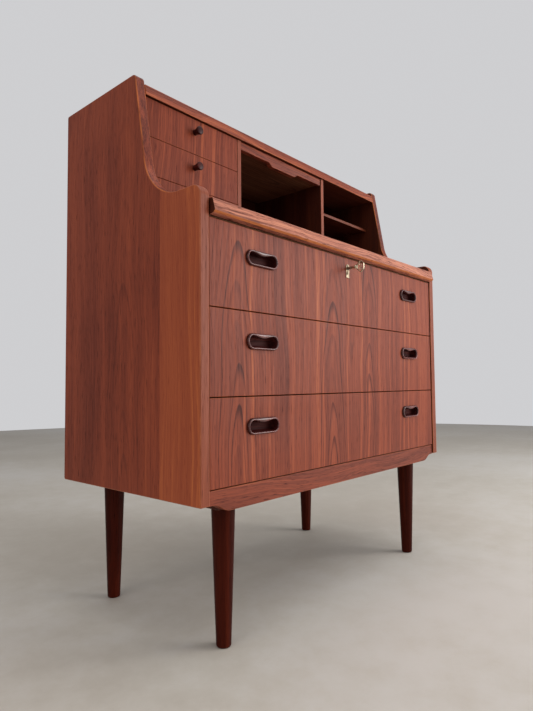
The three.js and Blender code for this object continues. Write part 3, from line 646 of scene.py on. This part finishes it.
sides = [side(hand, sign) for hand, sign in HANDS]
print("sides", [len(piece.data.polygons) for piece in sides], "faces")

# %% [markdown]
# ## The plain boards
# Decks, partitions, dividers, runners and drawer bottoms are planed boards, and what makes them look
# like boards is a softened edge and grain that runs the right way. Each one starts as a cube that is
# stretched to its CAD box and then softened. The front edge of a visible board has a solid lipping, so
# its front faces get a second wood. The dark teak on the boards of the case and on the front of the back
# panel is painted shade.

# %% Boards
def board(name, node, slot, wood_of_faces, wood_of_front=None, width=0.8 * MM):
    low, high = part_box(node)
    bm = bmesh.new()
    bmesh.ops.create_cube(bm, size=1.0)
    bmesh.ops.scale(bm, verts=bm.verts[:], vec=high - low)
    bmesh.ops.translate(bm, verts=bm.verts[:], vec=(low + high) / 2)
    soften(bm, width)
    paint(bm, 1, lambda f: f.normal.y < -0.5 and wood_of_front is not None)
    woods = [wood_of_faces] + ([wood_of_front] if wood_of_front else [])
    return place(name, bm, [node], slot, *woods)


# The dark teak of the case floor, the deck, the shelf, the partitions, the leg rails and the front of the
# back panel is painted shade.
board("floor_of_case", "bottom_board", "teak", shaded_board_teak)
board("deck", "upper_deck", "teak", shaded_board_teak, level_teak)
board("back", "back_panel", "drawer_wood", back_wood, shaded_inner_teak)
board("leaf", "writing_leaf", "teak", leaf_teak)
board("shelf", "pigeonhole_shelf", "teak", shaded_board_teak, shaded_shelf_teak)
for hand, _ in HANDS:
    board(hand + "_partition", "partition_" + hand, "teak", shaded_wall_teak, edge_teak)
    board(hand + "_leg_rail", "leg_rail_" + hand, "drawer_wood", shaded_board_teak, width=1.5 * MM)
    board(hand + "_tray_strip", "tray_runner_" + hand, "drawer_wood", drawer_wood, width=0.4 * MM)
    for drawer in WIDE_DRAWERS:
        board(drawer + "_strip_" + hand, drawer + "_runner_" + hand, "drawer_wood", drawer_wood)
for i in (1, 2):
    board("drawer_shelf_%d" % i, "divider_%d" % i, "drawer_wood", plywood)
for drawer in WIDE_DRAWERS:
    board(drawer + "_bottom", drawer + "_drawer_bottom", "drawer_wood", plywood, width=0.4 * MM)
print("boards placed")

# %% [markdown]
# ## Boards with a shape of their own
# The top, the dust board with its slot for the bolt, the apron and the tray front are flat boards with
# a worked outline. Their CAD solids already have that outline, so a merged copy is softened instead of
# drawing it again. The apron is solid teak sawn to a shallow wave at each end.

# %% Top, dust board, apron and tray front
def reworked(name, node, slot, woods, width=1.0 * MM, segments=2, only=None, paints=()):
    bm = from_cad(node)
    soften(bm, width, segments=segments, only=only)
    for index, where in paints:
        paint(bm, index, where)
    return place(name, bm, [node], slot, *woods)


# The underside of the top gets dark teak, painted shade.
top_paints = ((1, lambda f: abs(f.normal.y) > 0.5), (2, lambda f: f.normal.z < -0.9))
reworked("top", "top_board", "teak_edge", [leaf_teak, level_teak, shaded_board_teak], width=1.6 * MM, segments=3,
         paints=top_paints)
# The front of the dust board gets dark teak, painted shade.
reworked("dust_shelf", "dust_board", "drawer_wood", [plywood, shaded_inner_teak], width=0.5 * MM,
         paints=((1, lambda f: f.normal.y < -0.5),))
reworked("apron", "apron_rail", "teak", [apron_teak], width=1.4 * MM, segments=3)
reworked("tray_face", "tray_front", "teak", [level_teak], width=0.9 * MM)
print("shaped boards placed")


# %% [markdown]
# ## The moulding on the writing leaf
# The front of the leaf is a solid teak nosing, thicker than the leaf, that hangs over the upper drawer
# and is the grip for pulling the leaf out. Its section is drawn once, with the corners rounded by
# different amounts, and extruded over the full width between the sides. The ends show end grain in dark
# teak, darker by itself and with painted shade, and the lower front bevel is a strip of bright orange
# that is a painted highlight of the light it catches from below.

# %% Moulding
MOULDING_CORNERS = {1: 3.2 * MM, 2: 2.2 * MM, 3: 1.2 * MM}
# How far back the painted highlight on the lower bevel reaches.
LIT_BEVEL_DEPTH = 4.5 * MM


def moulding():
    low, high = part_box("leaf_moulding")
    bm = bmesh.new()
    points = [
        (low.x, high.y, high.z), (low.x, low.y + 6.5 * MM, high.z - 1 * MM),
        (low.x, low.y, high.z - 24 * MM), (low.x, low.y + 3.4 * MM, low.z + 1.7 * MM),
        (low.x, high.y - 3 * MM, low.z), (low.x, high.y, low.z),
    ]
    face = outline_face(bm, points, MOULDING_CORNERS, segments=6)
    thicken(bm, face, (high.x - low.x, 0, 0))
    soften(bm, 0.7 * MM, angle=60)
    # The ends are end grain, dark teak with painted shade.
    paint(bm, 1, lambda f: abs(f.normal.x) > 0.7)
    # The lowest front bevel gets bright orange teak, a painted highlight.
    paint(bm, 2, lambda f: f.normal.z < -0.2 and f.calc_center_median().y < low.y + LIT_BEVEL_DEPTH)
    return place("moulding", bm, ["leaf_moulding"], "teak_edge", moulding_teak, shaded_end_teak, lit_bevel_teak)


nosing = moulding()
print("moulding", [round(v, 4) for v in nosing.dimensions], "m")


# %% [markdown]
# ## Turned pieces
# Legs, knobs and the shaft of the key come off a lathe. On a lathe the shape is one line, the profile,
# and the spin operator is the lathe: it turns the profile once round its axis. The profile starts and
# ends on the axis, so merging doubles closes both poles.

# %% The lathe, and the four legs
def turned(bm, profile, origin, axis, steps=40):
    """Turns pairs of radius and distance along the axis into a closed solid."""
    axis = Vector(axis)
    sideways = axis.orthogonal().normalized()
    points = [Vector(origin) + sideways * radius + axis * along for radius, along in profile]
    verts = [bm.verts.new(point) for point in points]
    edges = [bm.edges.new(pair) for pair in zip(verts, verts[1:])]
    bmesh.ops.spin(bm, geom=verts + edges, cent=origin, axis=axis, angle=2 * math.pi, steps=steps,
                   use_merge=True)
    bmesh.ops.remove_doubles(bm, verts=bm.verts[:], dist=0.000005)
    bmesh.ops.recalc_face_normals(bm, faces=bm.faces[:])


FOOT_RADIUS = 14 * MM


def leg(end, hand):
    node = "leg_%s_%s" % (end, hand)
    low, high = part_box(node)
    top = high.z
    wide, foot = (high.x - low.x) / 2, FOOT_RADIUS
    bm = bmesh.new()
    profile = [
        (0, 0), (foot - 4 * MM, 0), (foot - 1.6 * MM, 0.7 * MM), (foot - 0.4 * MM, 2 * MM), (foot, 4 * MM),
        (foot + (wide - foot) * 0.33, top * 0.33), (foot + (wide - foot) * 0.66, top * 0.66),
        (wide - 0.15 * MM, top - 3 * MM), (wide - 0.3 * MM, top - 1 * MM), (wide - 1.2 * MM, top), (0, top),
    ]
    turned(bm, profile, ((low.x + high.x) / 2, (low.y + high.y) / 2, 0), (0, 0, 1), steps=48)
    return place("%s_%s_leg" % (end, hand), bm, [node], "leg_wood", leg_wood)


for hand, _ in HANDS:
    for end in ("front", "rear"):
        leg(end, hand)
print("legs turned")


# %% [markdown]
# The knobs of the small drawers swell from a stout neck to a wider cap with a low dome. They are turned
# with the axis pointing to the front.

# %% Knobs
def knob(drawer):
    node = "knob_" + drawer
    low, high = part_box(node)
    centre = ((low.x + high.x) / 2, high.y, (low.z + high.z) / 2)
    length, cap = high.y - low.y, (high.x - low.x) / 2
    bm = bmesh.new()
    profile = [
        (0, 0), (6.3 * MM, 0), (6.2 * MM, 1.5 * MM), (6.1 * MM, 4 * MM), (6.5 * MM, 7.5 * MM),
        (cap - 1.4 * MM, length * 0.58), (cap - 0.5 * MM, length * 0.74),
        (cap - 0.1 * MM, length - 3.4 * MM), (cap, length - 2.4 * MM),
        (cap - 0.4 * MM, length - 1.3 * MM), (cap - 1.5 * MM, length - 0.7 * MM),
        (cap * 0.45, length - 0.15 * MM), (0, length),
    ]
    turned(bm, profile, centre, (0, -1, 0), steps=36)
    return place("small_knob_" + drawer, bm, [node], "rosewood", knob_wood)


for drawer in SMALL_DRAWERS:
    knob(drawer)
print("knobs turned")

# %% [markdown]
# ## Drawer fronts
# The wide fronts are veneered boards with two mortises for the cup handles, and the upper one has a
# keyhole. The grain runs up through all three without a break, because they were cut from one sheet,
# and Object coordinates give that for nothing. The small fronts are plain boards with striped veneer.

# %% Wide and small fronts
def outer_edge(node, slack=0.0002):
    """A test for edges on the outside of a node's box, so that mortises stay sharp."""
    low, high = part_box(node)

    def on_box(edge):
        middle = (edge.verts[0].co + edge.verts[1].co) / 2
        near = [min(abs(middle[i] - low[i]), abs(middle[i] - high[i])) < slack for i in range(3)]
        return sum(near) >= 2
    return on_box


for drawer in WIDE_DRAWERS:
    node = drawer + "_drawer_front"
    reworked(drawer + "_front", node, "teak", [front_teak], width=0.9 * MM, only=outer_edge(node))
for drawer in SMALL_DRAWERS:
    board("small_face_" + drawer, "small_front_" + drawer, "teak", small_teak, width=0.7 * MM)
print("fronts placed")

# %% [markdown]
# ## Drawer boxes
# Behind the fronts are boxes of thin pale wood, grooved outside for the runners and inside for the
# bottom. The grooves are in the CAD solids, so the boxes are softened copies.

# %% Boxes
for drawer in WIDE_DRAWERS:
    reworked(drawer + "_box", drawer + "_drawer_box", "drawer_wood", [drawer_wood], width=0.6 * MM)
for drawer in SMALL_DRAWERS:
    body = "small_drawer_body_" + drawer
    reworked(body, "small_box_" + drawer, "drawer_wood", [drawer_wood], width=0.6 * MM)
reworked("tray_body", "tray_box", "drawer_wood", [tray_wood], width=0.4 * MM)
reworked("lock_housing", "lock_case", "steel", [steel], width=0.4 * MM)
reworked("bolt", "lock_bolt", "steel", [steel], width=0.5 * MM)
print("boxes and lock placed")


# %% [markdown]
# ## Cup handles
# Each handle is a block of rosewood let into the front, with round ends and a hollow for the fingers.
# Its rim stands a few millimetres proud, and the upper lip sags in the middle, so that the fingers find
# an edge to pull. A circle is pulled apart into a slot, and one inset after another raises the rim,
# rolls it over and sinks the hollow. The inset operator keeps every ring parallel to the outline, just
# as a router follows a template. The sag is a last move of the upper points. The hollow was never
# polished, so its rings get a duller wood than the rim.

# %% Cup handle
# Each pair is an inset and a rise, both in millimetres, and a negative rise goes into the hollow.
HANDLE_STEPS = (
    (0.25, 2.6), (0.55, 1.5), (0.6, 0.9), (0.8, 0.5), (0.8, 0.0), (0.8, -0.5), (0.6, -1.0), (0.45, -1.8),
    (0.15, -3.0), (0.1, -4.5), (0.5, -3.5), (1.3, -2.4), (2.0, -1.2), (2.6, -0.3),
)
HOLLOW_FROM = 8
LIP_SAG = 4.6 * MM
SAG_DEPTH = 6 * MM  # how far behind the face of the drawer the sag still reaches
TONGUE_INSET, TONGUE_LENGTH = 3 * MM, 15.5 * MM  # the part of the block inside the mortise
RIM_RISE = 4.6 * MM  # points this far before the face of the drawer are the worn rim


def slot_face(bm, centre, width, height, arc_points=28, straight_points=12):
    """A face with straight long sides and round ends, facing the front."""
    turn = Matrix.Translation(centre) @ Matrix.Rotation(QUARTER, 4, "X")
    turn = turn @ Matrix.Rotation(math.pi / arc_points, 4, "Z")
    round_face = bmesh.ops.create_circle(bm, cap_ends=True, radius=height / 2, segments=arc_points,
                                         matrix=turn)
    for vert in round_face["verts"]:
        vert.co.x += math.copysign((width - height) / 2, vert.co.x - centre[0])
    long_edges = [edge for edge in bm.edges if edge.calc_length() > (width - height) * 0.9]
    bmesh.ops.subdivide_edges(bm, edges=long_edges, cuts=straight_points)
    # Subdividing opposite sides also cuts across the face, so the cuts are dissolved again.
    whole = bmesh.ops.dissolve_faces(bm, faces=bm.faces[:], use_verts=False)["region"][0]
    bm.normal_update()
    return whole


def cup_handle(drawer, hand):
    node = "%s_handle_%s" % (drawer, hand)
    low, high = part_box(node)
    face_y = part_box(drawer + "_drawer_front")[0].y
    centre = Vector(((low.x + high.x) / 2, face_y - 0.3 * MM, (low.z + high.z) / 2))
    bm = bmesh.new()
    face = slot_face(bm, centre, high.x - low.x, high.z - low.z)
    if face.normal.y > 0:
        bmesh.ops.reverse_faces(bm, faces=[face])
    thicken(bm, face, (0, 0.0001, 0))
    front = min(bm.faces, key=lambda f: f.calc_center_median().y)
    back = max(bm.faces, key=lambda f: f.calc_center_median().y)
    for thickness, depth in ((TONGUE_INSET, 0), (0.05 * MM, TONGUE_LENGTH)):
        bmesh.ops.inset_region(bm, faces=[back], thickness=thickness, depth=depth, use_even_offset=True)
    for i, (thickness, depth) in enumerate(HANDLE_STEPS):
        ring = bmesh.ops.inset_region(bm, faces=[front], thickness=thickness * MM, depth=depth * MM,
                                      use_even_offset=True)["faces"]
        for part in ring:
            part.material_index = int(i > HOLLOW_FROM)
    front.material_index = 1
    half, run = (high.z - low.z) / 2, (high.x - low.x - high.z + low.z) / 2
    for vert in bm.verts:
        aside, up = vert.co.x - centre.x, vert.co.z - centre.z
        if up <= 0 or abs(aside) >= run or vert.co.y > face_y + SAG_DEPTH:
            continue
        inwards = min(1.0, max(0.0, (half - up - 1.6 * MM) / (3.2 * MM)))
        deep = min(1.0, max(0.0, (face_y + SAG_DEPTH - vert.co.y) / (5 * MM)))
        wave = 0.5 + 0.5 * math.cos(math.pi * aside / run)
        vert.co.z -= LIP_SAG * wave * inwards * deep
    bmesh.ops.recalc_face_normals(bm, faces=bm.faces[:])
    edge_value = bm.verts.layers.float.new("edge")
    for vert in bm.verts:
        if vert.co.y < face_y - RIM_RISE:
            vert[edge_value] = 1.0
    return place("%s_cup_%s" % (drawer, hand), bm, [node], "rosewood", rosewood, hollow_wood)


for drawer in WIDE_DRAWERS:
    for hand, _ in HANDS:
        handle = cup_handle(drawer, hand)
print("one handle has", len(handle.data.polygons), "faces")


# %% [markdown]
# ## Key plate and key
# The plate is a thin piece of brass cut to the shape of the keyhole, arched above and flared below. The
# key has a turned shaft with a bead, a bit inside the lock, and an openwork bow: a bent band that
# holds two small rings. Bands are faces that are inset, opened in the middle and thickened.

# %% Key plate
def key_plate():
    bm = from_cad("key_plate")
    soften(bm, 0.35 * MM)
    return place("keyhole_plate", bm, ["key_plate"], "brass", plate_brass)


def band(bm, points, radii, width, thick):
    """A flat ring in the plane x = 0: an outline, inset, opened and thickened along X."""
    ring = bmesh.new()
    face = outline_face(ring, points, radii, segments=5)
    bmesh.ops.inset_region(ring, faces=[face], thickness=width, use_even_offset=True, use_boundary=True)
    bmesh.ops.delete(ring, geom=[face], context="FACES_ONLY")
    grown = bmesh.ops.extrude_face_region(ring, geom=ring.faces[:], use_keep_orig=True)["geom"]
    moved = [item for item in grown if isinstance(item, bmesh.types.BMVert)]
    bmesh.ops.translate(ring, verts=moved, vec=(thick, 0, 0))
    bmesh.ops.translate(ring, verts=ring.verts[:], vec=(-thick / 2, 0, 0))
    bmesh.ops.recalc_face_normals(ring, faces=ring.faces[:])
    soften(ring, 0.35 * MM)
    mesh = bpy.data.meshes.new("band")
    ring.to_mesh(mesh)
    ring.free()
    bm.from_mesh(mesh)
    bpy.data.meshes.remove(mesh)


plate = key_plate()
print("key plate has", len(plate.data.polygons), "faces")


# %% Key
BEAD_END = 25 * MM  # where the bow starts, measured from the face of the drawer
BOW_CORNERS = {0: 1.5 * MM, 1: 3 * MM, 2: 3 * MM, 3: 3 * MM, 4: 3 * MM, 5: 1.5 * MM}
RING_REACH = 4.4 * MM  # half of a small ring's square, and also how far each ring is off the middle
BIT_SIZE = (2 * MM, 4 * MM, 6.3 * MM)


def key():
    low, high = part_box("key")
    axis_z = (low.z + high.z) / 2
    face_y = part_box("upper_drawer_front")[0].y
    bm = bmesh.new()
    inside = high.y - face_y
    shaft = [
        (0, -inside), (2.3 * MM, -inside), (2.75 * MM, 0.5 * MM - inside), (2.75 * MM, 9 * MM),
        (3.4 * MM, 9.6 * MM), (3.4 * MM, 10.6 * MM), (2.5 * MM, 11.3 * MM), (2.5 * MM, 20 * MM),
        (3.2 * MM, 20.6 * MM), (4.5 * MM, 21.9 * MM), (4.5 * MM, 23.6 * MM), (3.2 * MM, BEAD_END),
        (2.2 * MM, 25.8 * MM), (1.9 * MM, 28.5 * MM), (0, 28.6 * MM),
    ]
    turned(bm, shaft, (0, face_y, axis_z), (0, -1, 0), steps=28)
    bit = bmesh.ops.create_cube(bm, size=1.0)["verts"]
    bmesh.ops.scale(bm, verts=bit, vec=BIT_SIZE)
    bmesh.ops.translate(bm, verts=bit, vec=(0, high.y - 2.2 * MM, axis_z - 5.2 * MM))
    bow_low, bow_high = low.y + 0.2 * MM, face_y - BEAD_END
    bow_y, half_z = (bow_low + bow_high) / 2, (high.z - low.z) / 2
    points = [
        (0, bow_high, axis_z - 4 * MM), (0, bow_y - 1 * MM, axis_z - half_z),
        (0, bow_low, axis_z - half_z * 0.45), (0, bow_low, axis_z + half_z * 0.45),
        (0, bow_y - 1 * MM, axis_z + half_z), (0, bow_high, axis_z + 4 * MM),
    ]
    band(bm, points, BOW_CORNERS, 1.9 * MM, 2.6 * MM)
    reach = RING_REACH
    for sign in (-1, 1):
        y, z = bow_y - 0.6 * MM, axis_z + sign * reach
        corners = [(0, y + reach, z), (0, y, z - reach), (0, y - reach, z), (0, y, z + reach)]
        band(bm, corners, {i: 2.4 * MM for i in range(4)}, 1.2 * MM, 2.0 * MM)
    return place("lock_key", bm, ["key"], "brass", brass)


lock_key = key()
print("key has", len(lock_key.data.polygons), "faces")

# %% [markdown]
# ## Floor, light and camera
# The desk stands on a plain pale floor. The light comes from four large soft areas, brightest from the
# front right, so that the drawer fronts are lighter than the side. The camera is a short lens low in
# front of the left corner, which is why the case towers and its lines run together so fast.

# %% Floor
FLOOR_COLOURS = ((0.56, 0.51, 0.44), (0.63, 0.585, 0.52), (0.69, 0.655, 0.61))
FLOOR_RADIUS = 5.2


def floor_material():
    material, tree, shader = new_material("pale_floor")
    place_of = add_node(tree, "ShaderNodeTexCoord").outputs["Object"]
    warm = noise(tree, stretch(tree, place_of, 0.7, 0.7), detail=4.0)
    speckle = noise(tree, stretch(tree, place_of, 14.0, 14.0, 3.0), detail=5.0, roughness=0.7)
    tone = calc(tree, "ADD", calc(tree, "MULTIPLY", warm, 0.7), calc(tree, "MULTIPLY", speckle, 0.3))
    colour = colour_ramp(tree, spread(tree, tone, 0.35, 0.65), FLOOR_COLOURS)
    tree.links.new(colour, shader.inputs["Base Color"])
    tree.links.new(spread(tree, speckle, 0.2, 0.8, 0.5, 0.7), shader.inputs["Roughness"])
    return material


floor_bm = bmesh.new()
bmesh.ops.create_circle(floor_bm, cap_ends=True, radius=FLOOR_RADIUS, segments=96)
floor_mesh = bpy.data.meshes.new("floor")
floor_bm.to_mesh(floor_mesh)
floor_bm.free()
floor_mesh.materials.append(floor_material())
floor = bpy.data.objects.new("floor", floor_mesh)
bpy.context.scene.collection.objects.link(floor)
print("floor", floor.name)


# %% Light
ROOM_COLOUR = (0.62, 0.62, 0.635, 1)
ROOM_SEEN, ROOM_LIGHT = 1.0, 0.5  # how bright the room looks to the camera, and how much light it gives


def soft_light(name, place_at, aim, width, height, power, colour):
    data = bpy.data.lights.new(name, "AREA")
    data.shape, data.size, data.size_y = "RECTANGLE", width, height
    data.energy, data.color = power, colour
    lamp = bpy.data.objects.new(name, data)
    bpy.context.scene.collection.objects.link(lamp)
    lamp.location = place_at
    lamp.rotation_euler = (Vector(aim) - Vector(place_at)).to_track_quat("-Z", "Y").to_euler()


soft_light("window", (3.2, -2.6, 1.9), (0, 0, 0.6), 2.4, 2.4, 24, (0.90, 0.95, 1.0))
soft_light("room_front", (2.2, -2.8, 1.15), (0.25, 0, 0.4), 2.0, 2.0, 70, (1.0, 0.97, 0.93))
soft_light("room_left", (-3.2, -0.6, 1.6), (0, 0, 0.5), 2.5, 2.5, 22, (1.0, 0.93, 0.86))
soft_light("ceiling", (0.3, -0.8, 3.6), (0, 0, 0.4), 3.5, 3.5, 50, (1.0, 0.99, 0.97))
world = bpy.data.worlds.new("room")
bpy.context.scene.world = world
world.use_nodes = True
air = world.node_tree.nodes["Background"]
air.inputs["Color"].default_value = ROOM_COLOUR
seen = add_node(world.node_tree, "ShaderNodeLightPath").outputs["Is Camera Ray"]
strength = spread(world.node_tree, seen, 0.0, 1.0, ROOM_LIGHT, ROOM_SEEN)
world.node_tree.links.new(strength, air.inputs["Strength"])
bpy.context.scene.view_settings.view_transform = "Standard"
print("four lamps and the room's own light")

# %% Camera
LENS, SENSOR = 27.26, 36.0  # millimetres
CAMERA_PLACE = (-1.06455, -0.88368, 0.47933)
PITCH, YAW, ROLL = 0.0515, -0.8489, -0.0086
camera_data = bpy.data.cameras.new("camera")
camera_data.lens, camera_data.sensor_width = LENS, SENSOR
camera = bpy.data.objects.new("camera", camera_data)
bpy.context.scene.collection.objects.link(camera)
aimed = Matrix.Rotation(YAW, 4, "Z") @ Matrix.Rotation(QUARTER + PITCH, 4, "X")
aimed = aimed @ Matrix.Rotation(ROLL, 4, "Z")
camera.matrix_world = Matrix.Translation(CAMERA_PLACE) @ aimed
bpy.context.scene.camera = camera
print("camera at", [round(v, 3) for v in camera.location])
